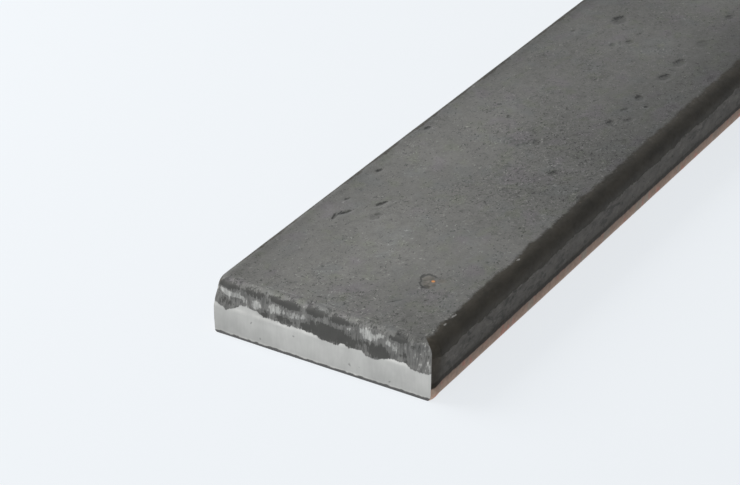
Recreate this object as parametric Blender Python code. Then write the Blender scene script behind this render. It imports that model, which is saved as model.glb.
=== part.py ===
"""Steel flat bar: 50 x 12 mm hot-rolled stock, sheared to a 500 mm length.

The bar lies on its underside, its length along X and its width along Y.
The origin is under the middle of the bar, at the height of the underside.
Its section is a rectangle with rolled round corners and slightly bulged sides.
Each end is a guillotine cut: the blade bent the first edge over, dragged the
upper part of the cut face, left a thin lip along the last edge and pulled
both sides in a little beside the cut.
"""

import math

import bpy
import bmesh

# Driving dimensions, in metres.
LENGTH = 0.500
WIDTH = 0.050
THICKNESS = 0.012
UPPER_CORNER_RADIUS = 0.0027
LOWER_CORNER_RADIUS = 0.0016
SIDE_BULGE = 0.00015

# The sheared end, measured from its foremost edge into the bar.
LIP_HEIGHT = 0.00045
LIP_REACH = 0.00015
CLEAN_CUT_HEIGHT = 0.0058
DRAG_LEAN = 0.0005
ROLL_OVER_LENGTH = 0.0020
ROLL_OVER_DROP = 0.0013
PULL_IN_LENGTH = 0.0026
PULL_IN_DEPTH = 0.0007

# How much longer than the finished bar the blank is at each end,
# and how far a cutter reaches past the bar.
TRIM_ALLOWANCE = 0.004
CUTTER_REACH = 0.003
# How far the curved cuts run past the face that they leave.
CURVE_OVERRUN = 0.00003

CORNER_STEPS = 10
SIDE_STEPS = 6
ROLL_OVER_STEPS = 12
PULL_IN_STEPS = 8
WELD_DISTANCE = 0.000001
SHARP_ANGLE = math.radians(28)

MILL_SCALE_COLOUR = (0.135, 0.133, 0.130, 1.0)
MILL_SCALE_ROUGHNESS = 0.55
MILL_SCALE_METALLIC = 0.7


def clear_scene():
    """Remove every object of the open scene."""
    for thing in list(bpy.data.objects):
        bpy.data.objects.remove(thing, do_unlink=True)


def new_collection(name, hidden=False):
    collection = bpy.data.collections.new(name)
    collection.hide_render = hidden
    bpy.context.scene.collection.children.link(collection)
    return collection


def mill_scale_material():
    """The grey skin of oxide that hot rolling leaves on the steel."""
    material = bpy.data.materials.new("mill_scale")
    material.use_nodes = True
    shader = material.node_tree.nodes["Principled BSDF"]
    shader.inputs["Base Color"].default_value = MILL_SCALE_COLOUR
    shader.inputs["Roughness"].default_value = MILL_SCALE_ROUGHNESS
    shader.inputs["Metallic"].default_value = MILL_SCALE_METALLIC
    return material


def half_outline():
    """The +Y half of the section, from the underside up to the top face.

    A quarter circle, the side as a shallow parabola, and a wider quarter
    circle: the rolls left the upper corners rounder than the lower ones.
    """
    flank = WIDTH / 2 - SIDE_BULGE
    straight = THICKNESS - LOWER_CORNER_RADIUS - UPPER_CORNER_RADIUS
    points = []
    for step in range(CORNER_STEPS + 1):
        angle = math.pi / 2 * step / CORNER_STEPS
        across = flank - LOWER_CORNER_RADIUS * (1 - math.sin(angle))
        height = LOWER_CORNER_RADIUS * (1 - math.cos(angle))
        points.append((across, height))
    for step in range(1, SIDE_STEPS):
        share = step / SIDE_STEPS
        across = flank + SIDE_BULGE * (1 - (2 * share - 1) ** 2)
        points.append((across, LOWER_CORNER_RADIUS + straight * share))
    for step in range(CORNER_STEPS + 1):
        angle = math.pi / 2 * step / CORNER_STEPS
        across = flank - UPPER_CORNER_RADIUS * (1 - math.cos(angle))
        height = THICKNESS - UPPER_CORNER_RADIUS * (1 - math.sin(angle))
        points.append((across, height))
    return points


def section_outline():
    """The whole rolled section, counter-clockwise from the underside."""
    half = half_outline()
    mirrored = [(-across, height) for across, height in reversed(half)]
    return half + mirrored


def shear_outline():
    """The waste that the shear takes off one end.

    The first number is the distance into the bar from the end's foremost
    edge, the second the height. From below, the line is the lip, the clean
    cut, the dragged part that leans back, and a quarter ellipse over the
    edge that the blade met first.
    """
    outside = -TRIM_ALLOWANCE - CUTTER_REACH
    lean_start = LIP_REACH
    lean_end = LIP_REACH + DRAG_LEAN
    roll_start = THICKNESS - ROLL_OVER_DROP
    points = [
        (outside, -CUTTER_REACH),
        (0, -CUTTER_REACH),
        (0, LIP_HEIGHT),
        (lean_start, LIP_HEIGHT + LIP_REACH),
        (lean_start, CLEAN_CUT_HEIGHT),
    ]
    for step in range(ROLL_OVER_STEPS + 1):
        angle = math.pi / 2 * step / ROLL_OVER_STEPS
        inward = lean_end + ROLL_OVER_LENGTH * (1 - math.cos(angle))
        height = roll_start + (ROLL_OVER_DROP + CURVE_OVERRUN) * math.sin(angle)
        points.append((inward, height))
    points.append((lean_end + ROLL_OVER_LENGTH, THICKNESS + CUTTER_REACH))
    points.append((outside, THICKNESS + CUTTER_REACH))
    return points


def side_outline():
    """The waste beside one end, seen from above, as one U-shaped plate.

    Each flank is a parabola that starts at the full width and ends
    PULL_IN_DEPTH further in at the cut face. The plate's base lies in the
    blank's trimmed end, in front of the cut.
    """
    outside = WIDTH / 2 + CUTTER_REACH
    front = -TRIM_ALLOWANCE - CUTTER_REACH
    base = -TRIM_ALLOWANCE / 2
    flank = []
    for step in range(PULL_IN_STEPS + 1):
        share = step / PULL_IN_STEPS
        drawn_in = (PULL_IN_DEPTH + CURVE_OVERRUN) * share ** 2
        across = WIDTH / 2 + CURVE_OVERRUN - drawn_in
        flank.append((PULL_IN_LENGTH * (1 - share), across))
    flank.append((base, WIDTH / 2 - PULL_IN_DEPTH))
    upper = [(front, outside), (PULL_IN_LENGTH, outside)] + flank
    lower = [(inward, -across) for inward, across in reversed(upper)]
    return upper + lower


def extruded_outline(name, points, half_depth, rotation, collection):
    """A closed mesh: the flat outline pushed half_depth to each side."""
    curve = bpy.data.curves.new(name + "_outline", "CURVE")
    curve.dimensions = "2D"
    curve.fill_mode = "BOTH"
    curve.extrude = half_depth
    spline = curve.splines.new("POLY")
    spline.points.add(len(points) - 1)
    for point, (first, second) in zip(spline.points, points):
        point.co = (first, second, 0, 1)
    spline.use_cyclic_u = True
    source = bpy.data.objects.new(name + "_outline", curve)
    source.rotation_euler = rotation
    collection.objects.link(source)

    bpy.context.view_layer.update()
    evaluated = source.evaluated_get(bpy.context.evaluated_depsgraph_get())
    mesh = bpy.data.meshes.new_from_object(evaluated)
    mesh.name = name
    work = bmesh.new()
    work.from_mesh(mesh)
    bmesh.ops.remove_doubles(work, verts=work.verts, dist=WELD_DISTANCE)
    bmesh.ops.recalc_face_normals(work, faces=work.faces)
    work.to_mesh(mesh)
    work.free()

    solid = bpy.data.objects.new(name, mesh)
    solid.matrix_world = source.matrix_world.copy()
    collection.objects.link(solid)
    bpy.data.objects.remove(source, do_unlink=True)
    return solid


def shear_cutters(collection):
    """The waste at both ends.

    The near end was the piece that the moving blade pushed down, so its top
    edge is bent over. The far end had stayed on the fixed blade, so it is
    the same cut turned half round: its lower edge is bent over.
    """
    half_span = WIDTH / 2 + CUTTER_REACH
    upright = (math.pi / 2, 0, 0)
    near = extruded_outline("near_waste", shear_outline(), half_span, upright, collection)
    near.location = (-LENGTH / 2, 0, 0)
    far = bpy.data.objects.new("far_waste", near.data)
    far.rotation_euler = (math.pi / 2, math.pi, 0)
    far.location = (LENGTH / 2, 0, THICKNESS)
    collection.objects.link(far)
    return near, far


def side_cutters(collection):
    """The waste beside both ends, the far one turned half round as above."""
    half_height = THICKNESS / 2 + CUTTER_REACH
    flat = (0, 0, 0)
    near = extruded_outline("near_side_waste", side_outline(), half_height, flat, collection)
    near.location = (-LENGTH / 2, 0, THICKNESS / 2)
    far = bpy.data.objects.new("far_side_waste", near.data)
    far.rotation_euler = (0, math.pi, 0)
    far.location = (LENGTH / 2, 0, THICKNESS / 2)
    collection.objects.link(far)
    return near, far


def flat_bar(collection, cutters):
    """The rolled blank, cut to length by the shear at both ends."""
    along_x = (math.pi / 2, 0, math.pi / 2)
    half_blank = LENGTH / 2 + TRIM_ALLOWANCE
    bar = extruded_outline("flat_bar", section_outline(), half_blank, along_x, collection)
    bar.data.materials.append(mill_scale_material())
    bar.data.shade_smooth()
    bar.data.set_sharp_from_angle(angle=SHARP_ANGLE)
    for cutter in cutters:
        cutter.hide_render = True
        cutter.display_type = "WIRE"
        cut = bar.modifiers.new("cut_" + cutter.name, "BOOLEAN")
        cut.operation = "DIFFERENCE"
        cut.solver = "EXACT"
        cut.object = cutter
    return bar


clear_scene()
bar_collection = new_collection("steel_flat_bar")
cutter_collection = new_collection("shear_waste", hidden=True)
waste = shear_cutters(cutter_collection) + side_cutters(cutter_collection)
flat_bar(bar_collection, waste)
bpy.context.view_layer.update()
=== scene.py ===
"""A 500 mm length of 50 x 12 mm hot-rolled steel flat bar, seen from its near sheared end."""

import math

import bpy
import numpy as np
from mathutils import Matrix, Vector


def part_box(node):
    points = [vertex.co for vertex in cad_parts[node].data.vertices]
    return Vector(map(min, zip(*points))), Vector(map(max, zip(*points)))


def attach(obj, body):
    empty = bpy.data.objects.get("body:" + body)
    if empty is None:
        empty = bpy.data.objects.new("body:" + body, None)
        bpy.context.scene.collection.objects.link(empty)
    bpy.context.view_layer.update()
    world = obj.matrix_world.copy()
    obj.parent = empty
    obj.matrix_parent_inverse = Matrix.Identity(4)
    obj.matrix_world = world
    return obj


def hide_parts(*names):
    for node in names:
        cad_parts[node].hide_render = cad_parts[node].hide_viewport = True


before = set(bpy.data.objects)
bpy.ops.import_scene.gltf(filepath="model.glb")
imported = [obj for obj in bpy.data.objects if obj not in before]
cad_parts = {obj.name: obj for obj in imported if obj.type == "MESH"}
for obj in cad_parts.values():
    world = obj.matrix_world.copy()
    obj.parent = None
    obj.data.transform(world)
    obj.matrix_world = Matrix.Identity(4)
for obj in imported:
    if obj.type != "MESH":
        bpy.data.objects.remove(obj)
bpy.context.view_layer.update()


# The rolled body. Hot-rolled flat steel leaves the mill as a long strip with
# two flat faces, two slightly bulged sides and four round corners. Its section
# is worked out here in millimetres, as columns across and levels up.
low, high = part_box("flat_bar")
MM = 0.001
length, width, thickness = (high - low) / MM
near_end_x = low.x / MM

UPPER_RADIUS = 2.7
LOWER_RADIUS = 1.6
LIP_RADIUS = 0.7
SIDE_BULGE = 0.15
CORNER_CELLS = 7
FLAT_CELLS = 94
HEIGHT_CELLS = 40

flank = width / 2 - SIDE_BULGE
upper_flat = flank - UPPER_RADIUS
lower_flat = flank - LOWER_RADIUS
side_height = thickness - UPPER_RADIUS - LOWER_RADIUS
across_cells = FLAT_CELLS + 2 * CORNER_CELLS


def column_turns():
    """The corner angle at each column: 0 on the flats, a quarter turn at the side."""
    corner = np.linspace(0, math.pi / 2, CORNER_CELLS + 1)
    return np.concatenate([-corner[::-1], np.zeros(FLAT_CELLS - 1), corner])


def column_ends(radius):
    """Where the columns meet the outline of a face with corners of this radius.

    Across: the flat's own columns, then flat plus radius times the sine of
    the corner angle. In from the face: radius times one minus the cosine.
    """
    half = flank - radius
    flat = np.linspace(-1, 1, FLAT_CELLS + 1) * half
    place = np.concatenate([np.full(CORNER_CELLS, -half), flat, np.full(CORNER_CELLS, half)])
    return place + radius * np.sin(column_turn), radius * (1 - np.cos(column_turn))


column_turn = column_turns()
top_place, top_rise = column_ends(UPPER_RADIUS)
foot_place, foot_rise = column_ends(LOWER_RADIUS)
lip_place, lip_rise = column_ends(LIP_RADIUS)


def section_point(column, share, near_lip):
    """Place across and height of a point at a share of its column's height.

    A column runs straight from the underside to the top face. The bulge of
    the sides is a parabola of the share, in proportion to the place across.
    A near_lip of 1 gives the lower corners the smaller radius that the shear
    leaves beside its lip at the near end.
    """
    foot = foot_place[column] * (1 - near_lip) + lip_place[column] * near_lip
    rise = foot_rise[column] * (1 - near_lip) + lip_rise[column] * near_lip
    bulge = SIDE_BULGE / flank * (1 - (2 * share - 1) ** 2)
    place = foot * (1 - share) + top_place[column] * share
    return place * (1 + bulge), rise + (thickness - top_rise[column] - rise) * share


# The sheared ends. A guillotine pressed through the bar at each end. Measured
# into the bar, from the last edge up: a thin lip, the clean cut, the dragged
# part that leans back, and the first edge bent over in a quarter ellipse.
LIP_HEIGHT = 0.45
LIP_REACH = 0.15
CLEAN_CUT_HEIGHT = 5.8
DRAG_LEAN = 0.5
ROLL_OVER_LENGTH = 2.0
ROLL_OVER_DROP = 1.3
PULL_IN_LENGTH = 2.6
PULL_IN_DEPTH = 0.7
SHOULDER_LENGTH = 4.5
SHOULDER_DEPTH = 0.35
SHOULDER_FOOT = 5.5
SHOULDER_TOP = 10.5
# The length over which the skin straightens from the cut's profile.
JOIN_LENGTH = 9.0
PROFILE_SAMPLES = 4000


def eased(value, start, end):
    """0 at start, 1 at end, and 3t^2 - 2t^3 of the share between them."""
    share = np.clip((value - start) / (end - start), 0, 1)
    return share**2 * (3 - 2 * share)


def cut_profile(height):
    """How far the cut face lies into the bar at a height above the lip's edge.

    The lip's step, plus a straight lean, plus length times one minus the
    root of one minus the squared share of the drop, a quarter ellipse.
    """
    roll_start = thickness - ROLL_OVER_DROP
    step = np.clip((height - LIP_HEIGHT) / LIP_REACH, 0, 1)
    lean = np.clip((height - CLEAN_CUT_HEIGHT) / (roll_start - CLEAN_CUT_HEIGHT), 0, 1)
    share = np.clip((height - roll_start) / ROLL_OVER_DROP, 0, 1)
    roll = 1 - np.sqrt(1 - share**2)
    return LIP_REACH * step + DRAG_LEAN * lean + ROLL_OVER_LENGTH * roll


def drawn_in(distance, above_lip):
    """How much narrower each half of the bar is beside a cut.

    A parabola of the distance to the cut, and a longer, shallower one that
    grows towards the edge that the blade met first.
    """
    near = np.clip(1 - distance / PULL_IN_LENGTH, 0, 1)
    shoulder = np.clip(1 - distance / SHOULDER_LENGTH, 0, 1)
    upper = eased(above_lip, SHOULDER_FOOT, SHOULDER_TOP)
    return PULL_IN_DEPTH * near**2 + SHOULDER_DEPTH * shoulder**2 * upper


def level_shares():
    """Heights of the levels, as shares, evenly spaced along the cut profile."""
    fine = np.linspace(0, thickness, PROFILE_SAMPLES)
    inward = cut_profile(fine)
    run = np.concatenate([[0], np.cumsum(np.hypot(np.diff(fine), np.diff(inward)))])
    return np.interp(np.linspace(0, run[-1], HEIGHT_CELLS + 1), run, fine) / thickness


near_levels = level_shares()
far_levels = 1 - near_levels[::-1]


def ring_indices():
    """Columns and levels round the edge of the section, from the lower -Y corner."""
    last, top = across_cells, HEIGHT_CELLS
    right = np.arange(0, last)
    up = np.arange(0, top)
    column = np.concatenate([right, np.full(top, last), last - right, np.zeros(top, int)])
    level = np.concatenate([np.zeros(last, int), up, np.full(last, top), top - up])
    return column, level


ring_column, ring_level = ring_indices()
ring_size = len(ring_column)


def ring_shares(rows, step):
    """Column, level and share of height of every step-th ring point, row by row.

    The shares go evenly from the near cut's levels to the far cut's.
    """
    column, level = ring_column[::step], ring_level[::step]
    blend = np.clip((rows - JOIN_LENGTH) / (length - 2 * JOIN_LENGTH), 0, 1)[:, None]
    return column, level, near_levels[level] * (1 - blend) + far_levels[level] * blend


# The mill's marks. Rolled-in scale leaves shallow craters and short dents in
# the flat faces, the section is never quite even along the bar, and the sides,
# which the rolls barely touch, stay rough.
def lattice_noise(points, cell, seed):
    """Smooth noise from 0 to 1: random values on a cubic lattice of one cell.

    Between the lattice points it blends the eight values around a point with
    the weight 3t^2 - 2t^3 along each axis.
    """
    side = 64
    table = np.random.default_rng(seed).random((side, side, side))
    # Moved by whole tables, so that no place is negative.
    scaled = points / cell + side * 4
    base = np.floor(scaled).astype(int)
    part = scaled - base
    part = part * part * (3 - 2 * part)
    summed = np.zeros(points.shape[:-1])
    for corner in range(8):
        step = np.array([corner >> 2 & 1, corner >> 1 & 1, corner & 1])
        weight = np.where(step, part, 1 - part).prod(axis=-1)
        spot = (base + step) % side
        summed += weight * table[spot[..., 0], spot[..., 1], spot[..., 2]]
    return summed


def layered_noise(points, cell, seed, layers):
    """Lattice noise with finer layers added, each half as strong and as wide."""
    summed = np.zeros(points.shape[:-1])
    strength = 1.0
    for layer in range(layers):
        summed += strength * lattice_noise(points, cell / 2**layer, seed + layer)
        strength /= 2
    return summed / (2 - strength * 2)


# One row for each mark on the top face: distance from the near end, place
# across, half length, half width, turn in degrees from the bar's length, depth.
TOP_MARKS = np.array([
    (35.6, 16.2, 1.9, 0.55, -22, 0.16),
    (32.9, 17.3, 1.5, 0.50, 14, 0.14),
    (42.3, 12.0, 1.9, 0.60, -20, 0.18),
    (37.3, 10.2, 2.0, 1.1, -10, 0.09),
    (40.4, 19.0, 1.0, 0.5, -20, 0.11),
    (54.3, 19.8, 1.2, 0.65, -12, 0.18),
    (10.8, -10.0, 1.7, 0.4, -39, 0.06),
    (15.5, 9.0, 1.3, 0.6, 25, 0.03),
    (71.5, -11.3, 1.4, 1.0, 0, 0.13),
    (76.0, 21.0, 1.1, 0.7, -15, 0.13),
    (82.2, -1.9, 1.4, 1.0, 30, 0.09),
    (89.6, 8.9, 1.0, 0.7, 20, 0.11),
    (98.2, -11.1, 1.9, 1.1, 15, 0.14),
    (101.2, -13.6, 1.8, 0.8, -15, 0.07),
    (105.4, -10.7, 1.3, 0.8, -20, 0.10),
    (109.1, -14.1, 0.7, 0.6, 0, 0.12),
    (112.2, -10.9, 1.6, 1.2, 15, 0.17),
    (124.4, -11.0, 2.3, 1.4, -5, 0.20),
    (132.6, -10.7, 2.5, 1.4, 0, 0.12),
    (129.0, -20.2, 2.2, 0.8, 5, 0.07),
    (135.3, 17.3, 0.9, 0.5, -10, 0.08),
    (133.2, 6.2, 1.2, 0.8, 10, 0.08),
    (136.7, 3.7, 1.4, 1.0, 0, 0.12),
    (144.2, -10.8, 2.4, 1.6, 0, 0.07),
    (146.1, 11.0, 2.8, 1.7, 10, 0.14),
    (160.7, -9.9, 1.5, 1.1, 0, 0.13),
])
MARK_REACH = 2.5

# Depth and size of the slow waves, the fine grain and the lumps of the sides.
LONG_WAVE_DEPTH = 0.05
LONG_WAVE_LENGTH = 31.0
SHORT_WAVE_DEPTH = 0.03
SHORT_WAVE_LENGTH = 9.0
GRAIN_DEPTH = 0.03
GRAIN_SIZE = 2.4
SIDE_LUMP_DEPTH = 0.10
SIDE_LUMP_SIZE = 1.7
SIDE_LUMP_STRETCH = (0.6, 1, 1)


def mark_frames(along, across):
    """The nearest mark's own coordinates: 1 on its rim, 0 at its middle.

    The third number is 0 within MARK_REACH and MARK_REACH beyond it, so that
    blending between two marks never passes through a middle. The last two
    arrays are the nearest mark's depth and half width.
    """
    frames = np.zeros(along.shape + (3,))
    nearest = np.full(along.shape, MARK_REACH)
    frames[..., 2] = MARK_REACH
    depth = np.zeros(along.shape)
    breadth = np.zeros(along.shape)
    for mark_along, mark_across, half_length, half_width, turn, mark_depth in TOP_MARKS:
        cosine, sine = math.cos(math.radians(turn)), math.sin(math.radians(turn))
        away, aside = along - mark_along, across - mark_across
        first = (away * cosine + aside * sine) / half_length
        second = (aside * cosine - away * sine) / half_width
        reach = np.hypot(first, second)
        inside = reach < nearest
        frames[inside] = np.stack([first, second, first * 0], axis=-1)[inside]
        depth[inside] = mark_depth
        breadth[inside] = half_width
        nearest = np.where(inside, reach, nearest)
    return frames, depth, breadth


def skin_relief(along, across, height, on_top, on_side):
    """How far the skin lies in from the ideal section, in millimetres.

    Slow waves, finer unevenness, rougher sides, and in each mark a bowl of
    depth times one minus the fourth power of the distance, 1 on its rim.
    """
    points = np.stack([along, across, height], axis=-1)
    waves = LONG_WAVE_DEPTH * lattice_noise(points, LONG_WAVE_LENGTH, 1)
    waves += SHORT_WAVE_DEPTH * lattice_noise(points, SHORT_WAVE_LENGTH, 2)
    fine = GRAIN_DEPTH * layered_noise(points, GRAIN_SIZE, 3, 2)
    lumps = layered_noise(points * SIDE_LUMP_STRETCH, SIDE_LUMP_SIZE, 5, 2)
    rough = SIDE_LUMP_DEPTH * lumps * on_side
    frames, depth, _ = mark_frames(along, across)
    distance = np.sqrt((frames**2).sum(axis=-1))
    bowl = depth * np.clip(1 - distance**4, 0, 1) * on_top
    return waves + fine + rough + bowl


# The rows of the body lie close together near the cut and within the first
# 155 mm, and wider beyond, where each ring also has half as many points.
CLOSE_ROWS_END = 60
CLOSE_SPACING = 0.6
MIDDLE_ROWS_END = 154
MIDDLE_SPACING = 0.8
WIDE_ROWS_START = 156
WIDE_ROW_COUNT = 150


def row_places():
    """Distances of the rows from the near end, closer where the cut bends."""
    first = np.array([0.0, 0.22, 0.46, 0.74, 1.06, 1.44, 1.88, 2.38, 2.94])
    close = np.arange(3.5, CLOSE_ROWS_END, CLOSE_SPACING)
    middle = np.arange(CLOSE_ROWS_END, MIDDLE_ROWS_END, MIDDLE_SPACING)
    rest = np.linspace(WIDE_ROWS_START, length - 4, WIDE_ROW_COUNT)
    last = length - np.array([2.94, 2.0, 1.2, 0.6, 0.25, 0.0])
    return np.concatenate([first, close, middle]), np.concatenate([rest, last])


GROOVE_DEPTH = 0.10
SMEAR_DEPTH = 0.16
CUT_WAVE_DEPTH = 0.02
SHOULDER_ROUNDING = 0.5


def end_relief(across, above_lip, seed):
    """Grooves and lumps of the dragged part of a cut, in millimetres inward.

    Noise stretched along the height, growing from nothing at the clean cut,
    and a rounder shoulder at both upper corners.
    """
    points = np.stack([across, above_lip * 0.15, across * 0], axis=-1)
    lumps = np.stack([across, above_lip, across * 0], axis=-1)
    dragged = np.clip((above_lip - CLEAN_CUT_HEIGHT) / 0.8, 0, 1)
    fade = 1 - np.clip((above_lip - thickness + 1.2) / 1.2, 0, 1) ** 2 * 0.7
    grooves = GROOVE_DEPTH * layered_noise(points, 0.8, seed, 2)
    patches = SMEAR_DEPTH * lattice_noise(lumps, 1.6, seed + 7)
    faint = CUT_WAVE_DEPTH * lattice_noise(lumps, 3.0, seed + 9)
    sideways = SHOULDER_ROUNDING * eased(np.abs(across), 20.5, 24.2)
    shoulder = sideways * eased(above_lip, 7.0, 10.6)
    return dragged * fade * (grooves + patches) + faint + shoulder


def ring_positions(rows, step):
    """The skin's points: one ring for each row, with every step-th ring point.

    Near an end a ring bends into the cut's profile, in proportion to how
    close it is, and is drawn in.
    """
    column, level, share = ring_shares(rows, step)
    near_lip = eased(rows, 3.0, 0.2)[:, None]
    across, height = section_point(column, share, near_lip)

    near_offset = cut_profile(height) + end_relief(across, height, 20)
    far_offset = cut_profile(thickness - height) + end_relief(across, thickness - height, 40)
    from_near = np.clip(1 - rows / JOIN_LENGTH, 0, 1)[:, None]
    from_far = np.clip(1 - (length - rows) / JOIN_LENGTH, 0, 1)[:, None]
    along = rows[:, None] + near_offset * from_near - far_offset * from_far

    narrowing = drawn_in(rows[:, None], height)
    narrowing = narrowing + drawn_in(length - rows[:, None], thickness - height)
    across = across * (1 - narrowing / flank)

    turn = column_turn[column]
    on_flank = np.isin(column, (0, across_cells)) & (level > 0) & (level < HEIGHT_CELLS)
    up = np.where(level == 0, -1.0, 1.0) * np.where(on_flank, 0.0, np.cos(turn))
    out = np.where(on_flank, np.sign(turn), np.sin(turn))
    on_top = np.where((level == HEIGHT_CELLS) & (turn == 0), 1.0, 0.0)
    on_side = np.where(on_flank, 1.0, np.abs(np.sin(turn)) ** 6)
    relief = skin_relief(along, across, height, on_top[None, :], on_side[None, :])
    return np.stack([along, across - out * relief, height - up * relief], axis=-1)


def cap_positions(levels, step, seed, from_near):
    """A cut face's inner points, between the ring points of its edge."""
    column = np.arange(0, across_cells + 1, step)[:, None]
    place, height = section_point(column, levels[None, ::step], 1.0 if from_near else 0.0)
    above_lip = height if from_near else thickness - height
    inward = cut_profile(above_lip) + end_relief(place, above_lip, seed)
    along = inward if from_near else length - inward
    across = place * (1 - drawn_in(0.0, above_lip) / flank)
    return np.stack([along, across, height], axis=-1)[1:-1, 1:-1]


def cap_lookup(ring_start, inner_start, step):
    """Point numbers of a cut face's grid: the ring's on its edge, its own inside."""
    columns = across_cells // step + 1
    levels = HEIGHT_CELLS // step + 1
    lookup = np.zeros((columns, levels), int)
    lookup[ring_column[::step] // step, ring_level[::step] // step] = (
        ring_start + np.arange(ring_size // step)
    )
    inner = (columns - 2) * (levels - 2)
    lookup[1:-1, 1:-1] = inner_start + np.arange(inner).reshape(columns - 2, levels - 2)
    return lookup


def grid_quads(lookup):
    """Four-sided faces between neighbouring points of a grid of numbers."""
    corners = [lookup[:-1, :-1], lookup[:-1, 1:], lookup[1:, 1:], lookup[1:, :-1]]
    return np.stack(corners, axis=-1).reshape(-1, 4)


def tube_quads(start, rows, ring):
    """Four-sided faces of a tube of rings, closed round the section."""
    numbers = start + np.arange(rows * ring).reshape(rows, ring)
    return grid_quads(np.concatenate([numbers, numbers[:, :1]], axis=1))


def narrowing_triangles(fine_start, fine_ring, coarse_start):
    """Three triangles for each coarse cell that meets two fine ones."""
    coarse_ring = fine_ring // 2
    cell = np.arange(coarse_ring)
    fine_a, fine_b = fine_start + 2 * cell, fine_start + 2 * cell + 1
    fine_c = fine_start + (2 * cell + 2) % fine_ring
    coarse_a, coarse_b = coarse_start + cell, coarse_start + (cell + 1) % coarse_ring
    triangles = [
        np.stack([fine_a, fine_b, coarse_a], axis=-1),
        np.stack([fine_b, coarse_b, coarse_a], axis=-1),
        np.stack([fine_b, fine_c, coarse_b], axis=-1),
    ]
    return np.concatenate(triangles)


def mesh_from_faces(name, points, face_groups):
    """A mesh from points in millimetres and groups of faces with equal corners."""
    mesh = bpy.data.meshes.new(name)
    mesh.vertices.add(len(points))
    mesh.vertices.foreach_set("co", (points * MM).astype(np.float32).ravel())
    corners = np.concatenate([group.ravel() for group in face_groups])
    counts = np.concatenate([np.full(len(group), group.shape[1]) for group in face_groups])
    mesh.loops.add(len(corners))
    mesh.loops.foreach_set("vertex_index", corners.astype(np.int32))
    mesh.polygons.add(len(counts))
    starts = np.concatenate([[0], np.cumsum(counts)[:-1]])
    mesh.polygons.foreach_set("loop_start", starts.astype(np.int32))
    mesh.update(calc_edges=True)
    return mesh


def point_attribute(mesh, name, values):
    """A number or a vector kept on each point, for the materials to read."""
    kind = "FLOAT" if values.ndim == 1 else "FLOAT_VECTOR"
    field = "value" if values.ndim == 1 else "vector"
    made = mesh.attributes.new(name, kind, "POINT")
    made.data.foreach_set(field, values.astype(np.float32).ravel())


def new_object(name, data):
    """An object that shows some data, put into the scene."""
    made = bpy.data.objects.new(name, data)
    bpy.context.scene.collection.objects.link(made)
    return made


SHARP_ANGLE = math.radians(38)

fine_rows, coarse_rows = row_places()
fine_skin = ring_positions(fine_rows, 1)
coarse_skin = ring_positions(coarse_rows, 2)
near_cap = cap_positions(near_levels, 1, 20, True)
far_cap = cap_positions(far_levels, 2, 40, False)

blocks = [block.reshape(-1, 3) for block in (fine_skin, coarse_skin, near_cap, far_cap)]
starts = np.cumsum([0] + [len(block) for block in blocks])
bar_points = np.concatenate(blocks)
half_ring = ring_size // 2
last_fine_ring = starts[1] - ring_size
last_coarse_ring = starts[2] - half_ring

skin_faces = [
    tube_quads(starts[0], len(fine_rows), ring_size),
    tube_quads(starts[1], len(coarse_rows), half_ring),
    narrowing_triangles(last_fine_ring, ring_size, starts[1]),
]
cut_faces = [
    grid_quads(cap_lookup(starts[0], starts[2], 1)),
    grid_quads(cap_lookup(last_coarse_ring, starts[3], 2))[:, ::-1],
]
placed_points = bar_points + (near_end_x, 0, 0)
bar_mesh = mesh_from_faces("flat_bar_rolled", placed_points, skin_faces + cut_faces)
face_slots = np.zeros(len(bar_mesh.polygons), np.int32)
face_slots[sum(len(group) for group in skin_faces):] = 1
bar_mesh.polygons.foreach_set("material_index", face_slots)
bar_mesh.shade_smooth()
bar_mesh.set_sharp_from_angle(angle=SHARP_ANGLE)

flat_bar = new_object("rolled_bar", bar_mesh)


# The line between clean cut and dragged scale. Where the blade had cut about
# half way, the bar broke through, and the edge of the dragged scale is ragged.
# Each point is a place across and a height above the lip's edge.
DRAG_EDGE = np.array([
    (-25.0, 6.0), (-23.4, 5.8), (-20.8, 5.4), (-18.6, 6.3), (-14.9, 6.1), (-11.2, 5.2),
    (-9.2, 6.2), (-6.1, 6.1), (-1.7, 5.6), (0.7, 6.1), (3.0, 6.3), (6.1, 6.5), (9.2, 6.1),
    (11.1, 6.7), (13.8, 6.7), (15.9, 7.6), (18.2, 7.4), (19.8, 6.4), (21.2, 5.7),
    (22.6, 6.0), (24.0, 6.7), (25.0, 7.0),
])

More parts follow.
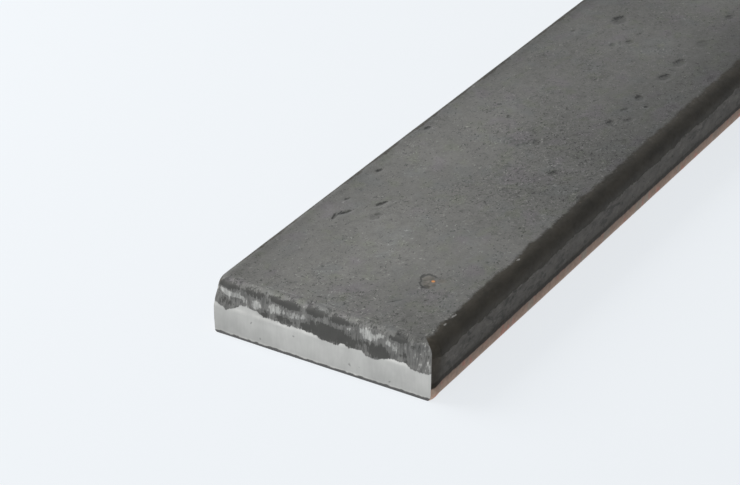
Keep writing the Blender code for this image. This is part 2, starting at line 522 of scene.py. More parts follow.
# Smears on the dragged part: place across, height above the lip's edge, half
# width, half height, and tone: negative is thick dark scale, positive bare steel.
SMEARS = [
    (22.7, 9.6, 1.8, 0.6, 1.2),
    (20.2, 9.2, 2.4, 0.5, 1.6),
    (17.6, 8.8, 1.1, 0.7, 1.2),
    (22.2, 7.2, 1.9, 1.5, -0.3),
    (21.6, 10.9, 2.4, 0.9, -1.6),
    (14.5, 8.7, 1.4, 0.9, 1.3),
    (13.1, 7.3, 1.6, 0.8, -0.7),
    (15.7, 10.7, 3.2, 0.8, -1.0),
    (10.2, 8.9, 2.2, 1.1, 1.1),
    (10.2, 10.9, 1.5, 0.7, -1.4),
    (8.0, 7.2, 3.2, 0.9, -0.6),
    (6.9, 10.7, 2.2, 0.9, -1.7),
    (6.2, 8.7, 1.5, 1.3, 0.8),
    (3.95, 10.0, 0.5, 2.3, 0.8),
    (1.3, 10.8, 2.4, 0.9, -1.7),
    (-1.8, 7.6, 6.0, 1.8, -1.7),
    (-4.2, 10.8, 2.4, 0.8, -1.4),
    (-2.9, 9.5, 3.0, 0.5, 0.6),
    (-10.2, 9.9, 1.9, 1.2, 1.0),
    (-13.2, 10.2, 1.6, 1.2, 0.6),
    (-12.6, 7.2, 2.8, 1.6, -1.5),
    (-15.8, 8.9, 1.6, 1.3, 0.8),
    (-16.8, 11.0, 2.0, 0.9, -1.6),
    (-17.9, 7.6, 2.2, 1.2, -0.3),
    (-22.4, 8.9, 1.4, 2.6, 0.1),
]


def smear_tone(across, above_lip):
    """Each smear's tone times (1 - d^2 / 2)^2, d being 1 on its rim, summed."""
    summed = np.zeros(across.shape)
    for place, height, half_width, half_height, tone in SMEARS:
        distance = ((across - place) / half_width) ** 2 + ((above_lip - height) / half_height) ** 2
        summed += tone * np.clip(1 - distance / 2, 0, 1) ** 2
    return summed


def side_gap(across, above_lip):
    """Distance inside a cut face's outline, round its upper corners too.

    Along a side it is the distance to it. At a corner it is the corner's
    radius less the distance to the corner's centre.
    """
    beside = np.abs(across) - (flank - PULL_IN_DEPTH - UPPER_RADIUS)
    above = np.maximum(above_lip - (thickness - UPPER_RADIUS), 0)
    return UPPER_RADIUS - np.hypot(np.maximum(beside, 0), above) + np.maximum(-beside, 0)


# Where each point lies on the bar, kept on the mesh for the finish to read.
# The side starts and ends at these distances round the section.
SIDE_TOP = upper_flat + UPPER_RADIUS * math.pi / 2
SIDE_FOOT = SIDE_TOP + side_height


def ring_girth(rows, step):
    """Distance round the section from the middle of the top face.

    Along the flat, the upper corner's arc, down the side, the lower corner's
    arc and along the underside.
    """
    column, level, share = ring_shares(rows, step)
    turn = np.abs(column_turn[column])
    on_flat = turn == 0
    upper = np.where(on_flat, np.abs(top_place[column]), upper_flat + UPPER_RADIUS * turn)
    beneath = np.where(on_flat, lower_flat - np.abs(foot_place[column]), 0)
    lower = SIDE_FOOT + LOWER_RADIUS * (math.pi / 2 - turn) + beneath
    side = SIDE_FOOT - side_height * share
    return np.where(level == HEIGHT_CELLS, upper, np.where(level == 0, lower, side))


# A mark this deep is shaded in full, the shallowest a fifth as much.
FULL_MARK_DEPTH = 0.14
FAINTEST_MARK = 0.2

at_near = bar_points[:, 0] < length / 2
above_lip = np.where(at_near, bar_points[:, 2], thickness - bar_points[:, 2])
cut_across = np.where(at_near, bar_points[:, 1], -bar_points[:, 1])
frames, depths, breadths = mark_frames(bar_points[:, 0], bar_points[:, 1])
below_top = bar_points[:, 2] < thickness - 1
frames[below_top] = (0, 0, MARK_REACH)
girths = np.concatenate([
    ring_girth(fine_rows, 1).ravel(),
    ring_girth(coarse_rows, 2).ravel(),
    np.zeros(len(bar_points) - starts[2]),
])

point_attribute(bar_mesh, "mark_frame", frames)
point_attribute(bar_mesh, "mark_strength", np.clip(depths / FULL_MARK_DEPTH, FAINTEST_MARK, 1))
point_attribute(bar_mesh, "mark_breadth", breadths)
point_attribute(bar_mesh, "girth", girths)
point_attribute(bar_mesh, "to_cut", np.minimum(bar_points[:, 0], length - bar_points[:, 0]))
point_attribute(bar_mesh, "above_lip", above_lip)
point_attribute(bar_mesh, "above_drag_edge", above_lip - np.interp(cut_across, *DRAG_EDGE.T))
point_attribute(bar_mesh, "smear_tone", smear_tone(cut_across, above_lip))
point_attribute(bar_mesh, "side_gap", side_gap(bar_points[:, 1], above_lip))


# The finish of the steel. Mill scale is a thin grey oxide with a fine grain,
# clouds of faint tint, rough patches and dark flecks, smoother and blacker on
# the round corners and rough on the sides, whose darker colour is partly
# painted shade. The cut shows bare steel.
def new_material(name):
    """An empty material, its node tree and its Principled shader."""
    material = bpy.data.materials.new(name)
    material.use_nodes = True
    return material, material.node_tree, material.node_tree.nodes["Principled BSDF"]


def node(tree, kind, **settings):
    made = tree.nodes.new(kind)
    for key, value in settings.items():
        setattr(made, key, value)
    return made


def feed(tree, socket, value):
    """Join value to the socket, or set it there if it is a plain number."""
    if isinstance(value, bpy.types.NodeSocket):
        tree.links.new(value, socket)
    else:
        socket.default_value = value


def attribute(tree, name, output="Fac"):
    return node(tree, "ShaderNodeAttribute", attribute_name=name).outputs[output]


def reckon(tree, operation, first, second=0.0, third=0.0):
    made = node(tree, "ShaderNodeMath", operation=operation)
    for socket, value in zip(made.inputs, (first, second, third)):
        feed(tree, socket, value)
    return made.outputs[0]


def product(tree, first, *others):
    for other in others:
        first = reckon(tree, "MULTIPLY", first, other)
    return first


def total(tree, first, *others):
    for other in others:
        first = reckon(tree, "ADD", first, other)
    return first


def between(tree, value, start, end):
    """0 at start, 1 at end, held beyond them and eased between."""
    return rescaled(tree, value, 0.0, 1.0, start, end, "SMOOTHSTEP")


def rescaled(tree, value, low_value, high_value, start=0.0, end=1.0, easing="LINEAR"):
    """A value from start to end carried over to low_value to high_value."""
    made = node(tree, "ShaderNodeMapRange", interpolation_type=easing)
    feed(tree, made.inputs["Value"], value)
    made.inputs["From Min"].default_value = start
    made.inputs["From Max"].default_value = end
    made.inputs["To Min"].default_value = low_value
    made.inputs["To Max"].default_value = high_value
    return made.outputs["Result"]


def millimetres(tree, stretch=(1, 1, 1), shift=(0, 0, 0)):
    """The piece's own coordinates in millimetres, times a stretch, shifted."""
    place = node(tree, "ShaderNodeTexCoord").outputs["Object"]
    scale = node(tree, "ShaderNodeMapping")
    scale.inputs["Scale"].default_value = [factor / MM for factor in stretch]
    scale.inputs["Location"].default_value = shift
    tree.links.new(place, scale.inputs["Vector"])
    return scale.outputs["Vector"]


def grain(tree, place, size, detail=2.0, roughness=0.5, distortion=0.0):
    """Noise round 0.5 whose features are about size millimetres across."""
    made = node(tree, "ShaderNodeTexNoise")
    tree.links.new(place, made.inputs["Vector"])
    made.inputs["Scale"].default_value = 1 / size
    made.inputs["Detail"].default_value = detail
    made.inputs["Roughness"].default_value = roughness
    made.inputs["Distortion"].default_value = distortion
    return made.outputs["Fac"]


def wander(tree, noise, reach):
    """A noise round 0.5 turned into a change of up to reach either way."""
    return rescaled(tree, noise, -reach, reach, 0.22, 0.78)


def mixed(tree, share, first, second):
    made = node(tree, "ShaderNodeMix", data_type="RGBA")
    feed(tree, made.inputs["Factor"], share)
    feed(tree, made.inputs["A"], first)
    feed(tree, made.inputs["B"], second)
    return made.outputs["Result"]


def toned(tree, colour, factor):
    """A colour times a grey factor that may vary."""
    made = node(tree, "ShaderNodeVectorMath", operation="SCALE")
    if isinstance(colour, bpy.types.NodeSocket):
        tree.links.new(colour, made.inputs["Vector"])
    else:
        made.inputs["Vector"].default_value = colour[:3]
    feed(tree, made.inputs["Scale"], factor)
    return made.outputs["Vector"]


def axis_of(tree, vector, axis):
    made = node(tree, "ShaderNodeSeparateXYZ")
    tree.links.new(vector, made.inputs["Vector"])
    return made.outputs[axis]


def distance_to(tree, place, centre):
    made = node(tree, "ShaderNodeVectorMath", operation="DISTANCE")
    tree.links.new(place, made.inputs[0])
    made.inputs[1].default_value = centre
    return made.outputs["Value"]


def emboss(tree, shader, height):
    """Bump the shader's surface by a height in millimetres."""
    bump = node(tree, "ShaderNodeBump")
    bump.inputs["Strength"].default_value = 1.0
    bump.inputs["Distance"].default_value = MM
    tree.links.new(height, bump.inputs["Height"])
    tree.links.new(bump.outputs["Normal"], shader.inputs["Normal"])


def spots(tree, place, centres, radius):
    """1 in the middle of a small round spot at any of the centres, 0 outside."""
    nearest = 100.0
    for centre in centres:
        nearest = reckon(tree, "MINIMUM", nearest, distance_to(tree, place, centre))
    edge = wander(tree, grain(tree, place, 0.4, 3.0), radius * 0.9)
    return between(tree, total(tree, nearest, edge), radius, radius * 0.5)


SCALE_GREY = (0.188, 0.186, 0.175, 1)
SCALE_BLUISH = (0.185, 0.187, 0.179, 1)
SCALE_GREENISH = (0.184, 0.188, 0.164, 1)
SCALE_PURPLISH = (0.192, 0.183, 0.184, 1)


def scale_tint(tree, place, other_place, third_place):
    """Grey with faint clouds of a blue, a green and a purple tint."""
    bluish = between(tree, grain(tree, place, 7.0), 0.50, 0.68)
    colour = mixed(tree, bluish, SCALE_GREY, SCALE_BLUISH)
    greenish = between(tree, grain(tree, other_place, 5.0, 3.0), 0.52, 0.70)
    colour = mixed(tree, greenish, colour, SCALE_GREENISH)
    purplish = between(tree, grain(tree, third_place, 6.0), 0.54, 0.72)
    return mixed(tree, purplish, colour, SCALE_PURPLISH)


def scale_tone_and_painted_shade(tree, across, to_cut, midway):
    """Tone of the scale over a face: 1 less the losses summed here.

    It is darker further from the cut, along both edges, on the right half
    about midway, and at the near right corner. These losses are painted
    shade of the light falling off over the face.
    """
    inland = rescaled(tree, to_cut, 0.0, 1.0, 20.0, 110.0)
    right_edge = rescaled(tree, across, 1.0, 0.0, -22.0, -4.0)
    left_edge = rescaled(tree, across, 0.0, 0.18, 6.0, 22.0)
    at_cut = between(tree, to_cut, 14.0, 3.0)
    loss = total(
        tree,
        product(tree, inland, 0.205),
        rescaled(tree, to_cut, 0.0, 0.11, 85.0, 150.0),
        product(tree, right_edge, rescaled(tree, inland, 0.165, 0.29)),
        product(tree, left_edge, rescaled(tree, inland, 1.0, 0.0)),
        product(tree, midway, between(tree, across, 9.0, -3.0), 0.116),
        product(tree, midway, between(tree, across, 5.0, 14.0), -0.09),
        product(tree, at_cut, between(tree, across, -11.0, -20.0), 0.157),
        product(tree, between(tree, across, 19.5, 22.5), 0.13),
    )
    return reckon(tree, "SUBTRACT", 1.0, loss)


def flecks(tree, noise, start, end, contrast, tone):
    """Flecks as a factor: 1 below start, tone above end at full contrast."""
    return rescaled(tree, product(tree, between(tree, noise, start, end), contrast), 1.0, tone)


def mill_scale_colour(tree):
    """The flat faces: faint tints, broad tone, painted fall-off shade, fine grain, clustered
    flecks.
    """
    place = millimetres(tree)
    other_place = millimetres(tree, (1, 1.2, 1), (31, 7, 3))
    third_place = millimetres(tree, (0.8, 1, 1), (5, 21, 40))
    across = axis_of(tree, place, "Y")
    to_cut = attribute(tree, "to_cut")
    midway = product(tree, between(tree, to_cut, 38.0, 62.0), between(tree, to_cut, 118.0, 86.0))
    mid_right = product(tree, midway, between(tree, across, 7.0, -5.0))
    beside_cut = product(tree, between(tree, to_cut, 14.0, 4.0), 0.9)

    broad = rescaled(tree, grain(tree, place, 30.0, 2.0), 0.88, 1.12, 0.32, 0.68)
    soft = rescaled(tree, grain(tree, other_place, 2.6, 2.0), 0.93, 1.07, 0.3, 0.7)
    fine = wander(tree, grain(tree, place, 0.45, 2.0, 0.6), 0.15)
    fine = reckon(tree, "MULTIPLY_ADD", fine, rescaled(tree, mid_right, 0.8, 1.25), 1.0)

    # Flecks cluster in rough patches, beside the cut and midway on the right.
    rough_patch = between(tree, grain(tree, third_place, 8.0, 3.0), 0.42, 0.62)
    roughened = reckon(tree, "MAXIMUM", reckon(tree, "MAXIMUM", rough_patch, beside_cut), mid_right)
    left_calm = rescaled(tree, across, 1.0, 0.65, 4.0, 18.0)
    end_calm = rescaled(tree, reckon(tree, "MAXIMUM", midway, beside_cut), 0.70, 1.0)
    amount = product(tree, rescaled(tree, roughened, 0.30, 1.0), left_calm, end_calm)
    scarcer = rescaled(tree, amount, -0.040, 0.0, 0.2, 1.0)
    contrast = rescaled(tree, amount, 0.70, 1.0, 0.2, 1.0)
    dark_noise = total(tree, grain(tree, other_place, 0.78, 3.0, 0.6, 1.2), scarcer)
    pale_noise = total(tree, grain(tree, third_place, 0.60, 3.0, 0.6, 1.2), scarcer)
    # Painted shade: the light's fall-off over the face, put into the colour.
    drift = scale_tone_and_painted_shade(tree, across, to_cut, midway)
    factor = product(
        tree, broad, drift, soft, fine,
        flecks(tree, dark_noise, 0.58, 0.61, contrast, 0.40),
        flecks(tree, pale_noise, 0.60, 0.64, contrast, 1.72),
        flecks(tree, grain(tree, third_place, 2.1, 2.0, 0.5, 1.0), 0.59, 0.64, amount, 0.78),
    )
    return toned(tree, scale_tint(tree, place, other_place, third_place), factor)


# The edges of the skin, as distances round the section. The round corners and
# sides are painted darker than the top, partly as blacker scale and partly as
# painted shade. Beyond the corner's dark band come the rough side, painted
# darker towards its foot as shade, a dark line of painted contact shadow, and
# a thin line of brown rust, paler lower down, which is where such a bar lies
# on wet racks.
CORNER_BLACK = (0.041, 0.036, 0.028, 1)
SIDE_GREY = (0.104, 0.097, 0.087, 1)
SIDE_DARK = (0.050, 0.044, 0.036, 1)
PAINTED_CONTACT_SHADE = (0.018, 0.014, 0.009, 1)
EDGE_RUST = (0.39, 0.275, 0.215, 1)
RUST_RED = (0.46, 0.24, 0.19, 1)
RUST_GREY = (0.35, 0.30, 0.25, 1)
EDGE_CHIP = (0.36, 0.355, 0.34, 1)
CHIP_STRETCH = 2.2
# The brightest chips: distance from the near end and place across.
CHIPS = [(8.3, -22.4), (11.6, -22.2), (12.4, -22.4), (36.8, -22.4), (83.0, -2.6)]
RUST_HEIGHT = 1.8
RUST_TOP = SIDE_FOOT - RUST_HEIGHT

skin, tree, shader = new_material("mill_scale")
place = millimetres(tree)
upright_place = millimetres(tree, (1, 1, 0.25))
drawn_place = millimetres(tree, (0.45, 1, 1), (9, 5, 2))
round_place = attribute(tree, "girth")
to_cut = attribute(tree, "to_cut")
# On the lit left side the dark edge paint starts further round the corner, so that side shows less
# painted shade.
lit_side = between(tree, axis_of(tree, place, "Y"), -1.0, 1.0)
ragged = total(
    tree,
    round_place,
    wander(tree, grain(tree, place, 8.0, 1.0), 0.45),
    wander(tree, grain(tree, place, 2.0, 2.0), 0.35),
    wander(tree, grain(tree, place, 0.6, 2.0), 0.18),
    product(tree, lit_side, -1.5),
    product(tree, between(tree, to_cut, 9.0, 2.0), -1.0),
    product(tree, between(tree, to_cut, 32.0, 58.0), 0.4),
)
lightly_ragged = total(
    tree,
    round_place,
    wander(tree, grain(tree, place, 7.0, 1.0), 0.35),
    wander(tree, grain(tree, place, 2.4, 4.0, 0.6), 0.55),
)
flat_colour = mill_scale_colour(tree)

# The corners are near black: blacker scale and painted shade, and darker further from the cut.
corner_tone = rescaled(tree, grain(tree, drawn_place, 2.5, 4.0, 0.6), 0.65, 1.35, 0.3, 0.7)
corner_tone = product(tree, corner_tone, rescaled(tree, to_cut, 1.0, 0.86, 35.0, 65.0))
corner_colour = toned(tree, CORNER_BLACK, corner_tone)
# Painted shade: the side darkens from its top towards the dark line near its foot.
painted_foot_shade = between(tree, round_place, SIDE_TOP + 2.6, RUST_TOP + 0.3)
side_tone = rescaled(tree, grain(tree, drawn_place, 1.3, 3.0, 0.6), 0.70, 1.30, 0.30, 0.70)
side_pits = between(tree, grain(tree, drawn_place, 1.6, 3.0, 0.5, 0.8), 0.56, 0.64)
side_specks = between(tree, grain(tree, drawn_place, 0.7, 3.0, 0.5, 0.8), 0.60, 0.68)
side_pits = rescaled(tree, side_pits, 1.0, 0.60)
side_tone = product(tree, side_tone, side_pits, rescaled(tree, side_specks, 1.0, 1.4))
side_colour = toned(tree, mixed(tree, painted_foot_shade, SIDE_GREY, SIDE_DARK), side_tone)
near_cut = between(tree, to_cut, 6.5, 1.0)
scored = rescaled(tree, grain(tree, upright_place, 0.5, 3.0, 0.6), 0.75, 1.25, 0.25, 0.75)
side_colour = mixed(tree, near_cut, side_colour, toned(tree, SIDE_DARK, scored))
on_side = between(tree, lightly_ragged, SIDE_TOP + 0.5, SIDE_TOP + 0.7)
edge_colour = mixed(tree, on_side, corner_colour, side_colour)
# A dark line of painted contact shadow runs low along each side, above the rust.
nearly_straight = total(tree, round_place, wander(tree, grain(tree, place, 1.5, 3.0), 0.14))
contact_shade_line = between(tree, nearly_straight, RUST_TOP - 1.3, RUST_TOP - 0.7)
edge_colour = mixed(tree, contact_shade_line, edge_colour, PAINTED_CONTACT_SHADE)
red_spots = between(tree, grain(tree, place, 2.8, 2.0), 0.55, 0.68)
rust_colour = mixed(tree, red_spots, EDGE_RUST, RUST_RED)
grey_spots = between(tree, grain(tree, upright_place, 3.4, 2.0), 0.55, 0.70)
rust_colour = mixed(tree, grey_spots, rust_colour, RUST_GREY)
rust_tone = rescaled(tree, grain(tree, place, 0.9, 4.0, 0.6), 0.8, 1.2, 0.25, 0.75)
# The rust is paler lower down, painted as the contact shadow fading away from the dark line.
rust_shade_fade = rescaled(tree, between(tree, round_place, RUST_TOP, SIDE_FOOT + 1.0), 0.85, 1.4)
rust_colour = toned(tree, rust_colour, product(tree, rust_tone, rust_shade_fade))
rust = between(tree, nearly_straight, RUST_TOP - 0.05, RUST_TOP + 0.35)
edge_colour = mixed(tree, rust, edge_colour, rust_colour)

over_edge = between(tree, ragged, upper_flat - 0.95, upper_flat - 0.05)
under_edge = between(tree, ragged, SIDE_FOOT + 1.8, SIDE_FOOT + 3.6)
on_edge = product(tree, over_edge, reckon(tree, "SUBTRACT", 1.0, under_edge))
colour = mixed(tree, on_edge, flat_colour, edge_colour)

# Lighter in patches along the line where the face bends over into the cut.
bend_line = total(tree, to_cut, wander(tree, grain(tree, place, 1.2, 3.0), 0.2))
in_places = between(tree, grain(tree, place, 3.0, 2.0), 0.42, 0.55)
lighter_along_bend = product(tree, between(tree, bend_line, 3.05, 2.75), in_places)
colour = toned(tree, colour, rescaled(tree, lighter_along_bend, 1.0, 1.35))

chip_band = reckon(tree, "ABSOLUTE", reckon(tree, "SUBTRACT", round_place, upper_flat - 0.4))
beside_shear = rescaled(tree, to_cut, 0.075, 0.0, 8.0, 20.0)
chips = between(tree, total(tree, grain(tree, place, 0.7, 3.0, 0.6), beside_shear), 0.60, 0.66)
on_right = reckon(tree, "SUBTRACT", 1.0, lit_side)
chips = product(tree, chips, between(tree, chip_band, 0.6, 0.15), on_right)
colour = toned(tree, colour, rescaled(tree, chips, 1.0, 2.2))
chip_place = millimetres(tree, (1 / CHIP_STRETCH, 1, 1))
chip_centres = [
    ((near_end_x + along) / CHIP_STRETCH, across, thickness) for along, across in CHIPS
]
bright_chips = product(tree, spots(tree, chip_place, chip_centres, 0.26), 0.6)
colour = mixed(tree, bright_chips, colour, EDGE_CHIP)

# A narrow dent is dark all over, and a wide crater is a crescent: dark along
# its far left half, mid-grey in its bowl, with a little light on its near rim.
# The darkness is partly scale in the hollows and partly painted shade of the
# far walls, and the light on the near rim is a painted highlight.
mark_place = attribute(tree, "mark_frame", "Vector")
mark_strength = attribute(tree, "mark_strength")
mark = node(tree, "ShaderNodeVectorMath", operation="LENGTH")
tree.links.new(mark_place, mark.inputs[0])
mark_rim = total(tree, mark.outputs["Value"], wander(tree, grain(tree, place, 0.8, 4.0, 0.6), 0.42))
in_mark = between(tree, mark_rim, 1.05, 0.6)
wide_open = between(tree, attribute(tree, "mark_breadth"), 0.65, 1.0)
beyond = total(
    tree,
    axis_of(tree, mark_place, "Y"),
    product(tree, axis_of(tree, mark_place, "X"), wide_open, 0.75),
    wander(tree, grain(tree, place, 0.5, 2.0), 0.45),
)
narrow_shade = rescaled(tree, between(tree, beyond, -0.35, 0.35), 0.30, 0.72)
crescent = rescaled(tree, between(tree, beyond, 0.20, 0.75), 0.27, 0.72)
crescent_share = reckon(tree, "SUBTRACT", crescent, narrow_shade)
shaded = reckon(tree, "MULTIPLY_ADD", crescent_share, wide_open, narrow_shade)
mark_scale_and_shade = product(tree, in_mark, mark_strength, shaded)
colour = toned(tree, colour, reckon(tree, "SUBTRACT", 1.0, mark_scale_and_shade))
off_rim = reckon(tree, "ABSOLUTE", reckon(tree, "SUBTRACT", mark_rim, 1.1))
near_rim_highlight = product(tree, between(tree, off_rim, 0.32, 0.08), between(tree, beyond, -0.3, -0.8))
rim_light = product(tree, near_rim_highlight, mark_strength)
colour = toned(tree, colour, rescaled(tree, rim_light, 1.0, 1.12))


# One small rust spot on the near part of the top face: an orange grain in a
# brownish blister, with a thin dark ring round its far and left sides, which
# is painted shade of the blister's far wall.
RING_CENTRE = (near_end_x + 20.3, -12.0, thickness)
RING_AXIS = (0.85, 0.52, 0)
RING_CROSS = (0.52, -0.85, 0)
RING_RADIUS = 1.65
RING_STRETCH = 1.7
RUST_GRAIN = (near_end_x + 20.9, -12.5, thickness)
RUST_TAIL = (near_end_x + 21.8, -13.9, thickness)
RUST_SMUDGE = (near_end_x + 18.4, -12.4, thickness)
RUST_ORANGE = (0.66, 0.29, 0.10, 1)
RUST_BROWN = (0.150, 0.138, 0.118, 1)


def offset_along(tree, place, centre, direction):
    """How far a place lies from a centre, measured along one direction."""
    offset = node(tree, "ShaderNodeVectorMath", operation="SUBTRACT")
    tree.links.new(place, offset.inputs[0])
    offset.inputs[1].default_value = centre
    along = node(tree, "ShaderNodeVectorMath", operation="DOT_PRODUCT")
    tree.links.new(offset.outputs["Vector"], along.inputs[0])
    along.inputs[1].default_value = direction
    return along.outputs["Value"]


scatter = wander(tree, grain(tree, place, 0.9, 3.0), 0.32)
on_top_face = between(tree, axis_of(tree, place, "Z"), thickness - 2.0, thickness - 1.0)
lengthwise = product(tree, offset_along(tree, place, RING_CENTRE, RING_AXIS), 1 / RING_STRETCH)
crosswise = offset_along(tree, place, RING_CENTRE, RING_CROSS)
squares = total(tree, product(tree, lengthwise, lengthwise), product(tree, crosswise, crosswise))
from_ring = total(tree, reckon(tree, "SQRT", squares), scatter)
off_ring = reckon(tree, "ABSOLUTE", reckon(tree, "SUBTRACT", from_ring, RING_RADIUS))
# The ring's dark arc, only on its far and left sides, is painted shade.
ring = product(
    tree,
    between(tree, off_ring, 0.32, 0.10),
    between(tree, offset_along(tree, place, RING_CENTRE, (0, 1, 0)), -1.0, 0.2),
    on_top_face,
)
patch = product(tree, between(tree, from_ring, RING_RADIUS, RING_RADIUS - 0.6), on_top_face, 0.75)
tail = product(tree, between(tree, distance_to(tree, place, RUST_TAIL), 1.3, 0.3), 0.6)
stain = reckon(tree, "MAXIMUM", patch, tail)
colour = mixed(tree, stain, colour, toned(tree, RUST_BROWN, side_tone))
smudge = between(tree, total(tree, distance_to(tree, place, RUST_SMUDGE), scatter), 0.9, 0.4)
colour = toned(tree, colour, rescaled(tree, smudge, 1.0, 0.55))
colour = toned(tree, colour, rescaled(tree, ring, 1.0, 0.48))
rust_grain = between(tree, distance_to(tree, place, RUST_GRAIN), 0.5, 0.2)
colour = mixed(tree, rust_grain, colour, RUST_ORANGE)

tree.links.new(colour, shader.inputs["Base Color"])
shader.inputs["Metallic"].default_value = 0.2
shader.inputs["Specular IOR Level"].default_value = 0.15
gloss = rescaled(tree, grain(tree, place, 0.8, 3.0), 0.48, 0.66, 0.25, 0.75)
tree.links.new(gloss, shader.inputs["Roughness"])

above_side = between(tree, round_place, SIDE_TOP + 0.9, SIDE_TOP + 0.3)
relief_depth = rescaled(tree, product(tree, on_edge, above_side), 0.048, 0.012)
fine_relief = product(tree, grain(tree, place, 0.55, 4.0, 0.6), relief_depth)
bowls = product(tree, in_mark, mark_strength, -0.05)
ring_groove = product(tree, ring, -0.04)
emboss(tree, shader, total(tree, fine_relief, bowls, ring_groove))


# The bare cut. Below the ragged edge the steel is clean, bright and finely
# marked from the blade; above it dark scale is smeared and streaked down over
# the steel, up to the bent edge, which still has its mill scale.
CLEAN_STEEL = (0.52, 0.512, 0.487, 1)
THICK_SMEAR = (0.074, 0.073, 0.068, 1)
THIN_SMEAR = (0.165, 0.163, 0.155, 1)
BARE_STREAK = (0.40, 0.395, 0.375, 1)
LIP_DARK = (0.105, 0.104, 0.102, 1)
# Small nicks in the clean cut: place across and height.
NICKS = [(15.7, 4.4), (13.6, 1.6), (6.0, 4.5), (-6.5, 2.3), (-15.3, 1.4)]

cut, tree, shader = new_material("sheared_steel")
place = millimetres(tree)
streak_place = millimetres(tree, (1, 1, 0.18))
above = attribute(tree, "above_drag_edge")
height = attribute(tree, "above_lip")
scallops = wander(tree, grain(tree, place, 1.7, 2.0), 0.42)
teeth = wander(tree, grain(tree, streak_place, 0.30, 2.0), 0.22)
dragged = between(tree, total(tree, above, scallops, teeth), -0.05, 0.13)

to_left = rescaled(tree, axis_of(tree, place, "Y"), 1.0, 0.92, 8.0, 20.0)
clean_tone = rescaled(tree, grain(tree, place, 5.0, 3.0), 0.90, 1.10, 0.3, 0.7)
clean_tone = product(tree, clean_tone, rescaled(tree, height, 0.93, 1.05, 1.0, 5.0), to_left)
marks = rescaled(tree, grain(tree, streak_place, 0.5, 3.0), 0.965, 1.035, 0.25, 0.75)
nicks = between(tree, grain(tree, place, 0.7, 3.0, 0.6), 0.68, 0.76)
lower_nicks = product(tree, nicks, between(tree, height, 3.6, 1.2))
nick_centres = [(near_end_x + LIP_REACH, across, up) for across, up in NICKS]
lower_nicks = reckon(tree, "MAXIMUM", lower_nicks, spots(tree, place, nick_centres, 0.3))
clean_tone = product(tree, clean_tone, marks, rescaled(tree, lower_nicks, 1.0, 0.62))
clean = toned(tree, CLEAN_STEEL, clean_tone)
# Along the lip's edge the cut is painted dark: scale on the burr, and painted shade under it.
lip_line = total(tree, height, wander(tree, grain(tree, place, 1.3, 3.0), 0.16))
on_lip = between(tree, lip_line, 0.66, 0.46)
clean = mixed(tree, on_lip, clean, LIP_DARK)

streaks = grain(tree, streak_place, 0.38, 4.0, 0.65)
patches = grain(tree, millimetres(tree, (1, 0.7, 1.1)), 1.5, 3.0)
tone = total(
    tree,
    attribute(tree, "smear_tone"),
    wander(tree, streaks, 0.75),
    wander(tree, patches, 0.65),
)
bare_streaks = between(tree, tone, 0.30, 0.75)
thin = between(tree, tone, -0.60, -0.25)
smear = mixed(tree, bare_streaks, THIN_SMEAR, BARE_STREAK)
smear_grain = rescaled(tree, grain(tree, streak_place, 0.5, 3.0), 0.65, 1.35, 0.3, 0.7)
smear = toned(tree, smear, smear_grain)
smear = mixed(tree, thin, THICK_SMEAR, smear)
rolled = between(tree, total(tree, height, product(tree, scallops, 0.6), teeth), 11.2, 11.5)
rolled_colour = toned(tree, mill_scale_colour(tree), rescaled(tree, thin, 0.48, 0.95))
smear = mixed(tree, rolled, smear, rolled_colour)
# A painted highlight: a pale line just inside the cut's side edges, below the bend.
inside = total(tree, attribute(tree, "side_gap"), product(tree, teeth, 0.8))
below_bend = between(tree, height, 11.3, 10.6)
painted_edge_highlight = product(tree, between(tree, inside, 0.35, 0.12), below_bend, 0.35)
smear = mixed(tree, painted_edge_highlight, smear, BARE_STREAK)
colour = mixed(tree, dragged, clean, smear)
tree.links.new(colour, shader.inputs["Base Color"])

unscaled = reckon(tree, "SUBTRACT", 1.0, reckon(tree, "MAXIMUM", dragged, on_lip))
bareness = reckon(tree, "MAXIMUM", unscaled, product(tree, bare_streaks, 0.7))
tree.links.new(rescaled(tree, bareness, 0.3, 0.9), shader.inputs["Metallic"])
tree.links.new(rescaled(tree, bareness, 0.58, 0.42), shader.inputs["Roughness"])
shader.inputs["Specular IOR Level"].default_value = 0.3
ridges = product(tree, total(tree, streaks, patches), dragged, 0.07)
emboss(tree, shader, total(tree, ridges, product(tree, marks, 0.05)))

bar_mesh.materials.append(skin)
bar_mesh.materials.append(cut)
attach(flat_bar, "root")
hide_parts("flat_bar")


# The studio: a plain pale floor that keeps the bar's soft shadow, a large key
# light high on the far left, a weak one in front, and an even pale room.
ROOM_COLOUR = (0.879, 0.913, 0.947, 1)
ROOM_LIGHT = 0.34
ROOM_WHITE = (0.92, 0.92, 0.92, 1)
HALF_FLOOR = 7.0
FLOOR_DROP = 0.00002
FLOOR_PAINT = (0.86, 0.895, 0.93, 1)
FLOOR_GLOW = 0.82

floor_mesh = bpy.data.meshes.new("floor")
floor_corners = [(-1, -1), (1, -1), (1, 1), (-1, 1)]
floor_points = [(HALF_FLOOR * along, HALF_FLOOR * across, 0) for along, across in floor_corners]
floor_mesh.from_pydata(floor_points, [], [(0, 1, 2, 3)])
floor = new_object("floor", floor_mesh)
floor.location.z = -FLOOR_DROP


def seen_directly(tree):
    """1 for camera, glossy and transmission rays, 0 for the rest."""
    path = node(tree, "ShaderNodeLightPath")
    either = reckon(tree, "MAXIMUM", path.outputs["Is Camera Ray"], path.outputs["Is Glossy Ray"])
    return reckon(tree, "MAXIMUM", either, path.outputs["Is Transmission Ray"])


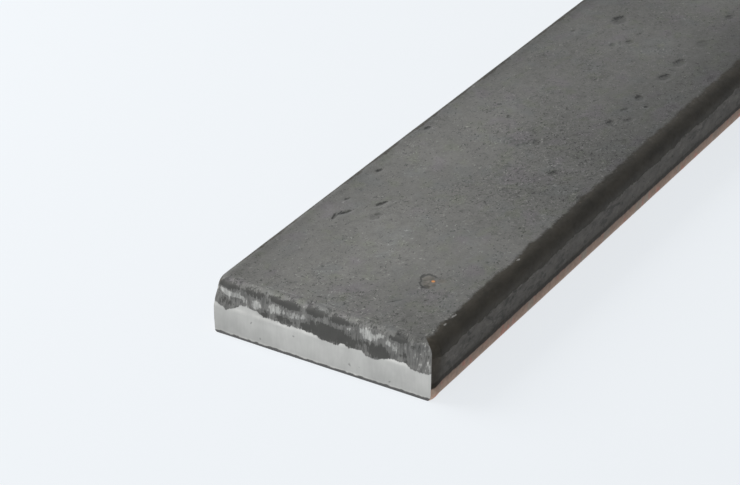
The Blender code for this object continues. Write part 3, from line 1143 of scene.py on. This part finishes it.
floor_material = bpy.data.materials.new("studio_floor")
floor_material.use_nodes = True
tree = floor_material.node_tree
tree.nodes.clear()
paint = node(tree, "ShaderNodeBsdfDiffuse")
paint.inputs["Color"].default_value = FLOOR_PAINT
glow = node(tree, "ShaderNodeEmission")
glow.inputs["Color"].default_value = ROOM_COLOUR
blend = node(tree, "ShaderNodeMixShader")
feed(tree, blend.inputs[0], product(tree, seen_directly(tree), FLOOR_GLOW))
tree.links.new(paint.outputs[0], blend.inputs[1])
tree.links.new(glow.outputs[0], blend.inputs[2])
floor_output = node(tree, "ShaderNodeOutputMaterial")
tree.links.new(blend.outputs[0], floor_output.inputs["Surface"])
floor_mesh.materials.append(floor_material)

world = bpy.data.worlds.new("studio_room")
bpy.context.scene.world = world
world.use_nodes = True
tree = world.node_tree
tree.nodes.clear()
seen = seen_directly(tree)
room = node(tree, "ShaderNodeBackground")
feed(tree, room.inputs["Color"], mixed(tree, seen, ROOM_WHITE, ROOM_COLOUR))
feed(tree, room.inputs["Strength"], rescaled(tree, seen, ROOM_LIGHT, 1.0))
room_output = node(tree, "ShaderNodeOutputWorld")
tree.links.new(room.outputs[0], room_output.inputs["Surface"])

near_end = Vector((near_end_x * MM, 0, 0))


def soft_lamp(name, offset, size, power):
    """A square lamp at an offset from the near end, turned to face it."""
    light = bpy.data.lights.new(name, "AREA")
    light.size = size
    light.energy = power
    lamp = new_object(name, light)
    lamp.location = near_end + Vector(offset)
    lamp.rotation_mode = "QUATERNION"
    lamp.rotation_quaternion = (-Vector(offset)).to_track_quat("-Z", "Y")


soft_lamp("key_lamp", (-0.06, 0.50, 0.36), 0.4, 3.65)
soft_lamp("front_lamp", (-1.1, 0.35, 0.55), 0.9, 4.0)


# The camera stands in front of the near end, a little to its right and above,
# where the bar runs away to the upper right and out of the frame.
CAMERA_AZIMUTH = math.radians(-58.56)
CAMERA_ELEVATION = math.radians(29.47)
CAMERA_DISTANCE = 0.5067
CAMERA_LENS = 130.07
SENSOR_WIDTH = 36
AIM = Vector((0.01477, -0.00209, 0.02037))

camera_data = bpy.data.cameras.new("photo_camera")
camera_data.lens = CAMERA_LENS
camera_data.sensor_width = SENSOR_WIDTH
camera_data.clip_start = 0.01
camera = new_object("photo_camera", camera_data)
towards_camera = Vector((
    math.sin(CAMERA_AZIMUTH) * math.cos(CAMERA_ELEVATION),
    -math.cos(CAMERA_AZIMUTH) * math.cos(CAMERA_ELEVATION),
    math.sin(CAMERA_ELEVATION),
))
camera.location = near_end + AIM + towards_camera * CAMERA_DISTANCE
camera.rotation_mode = "QUATERNION"
camera.rotation_quaternion = (-towards_camera).to_track_quat("-Z", "Y")
bpy.context.scene.camera = camera
bpy.context.scene.view_settings.view_transform = "Standard"
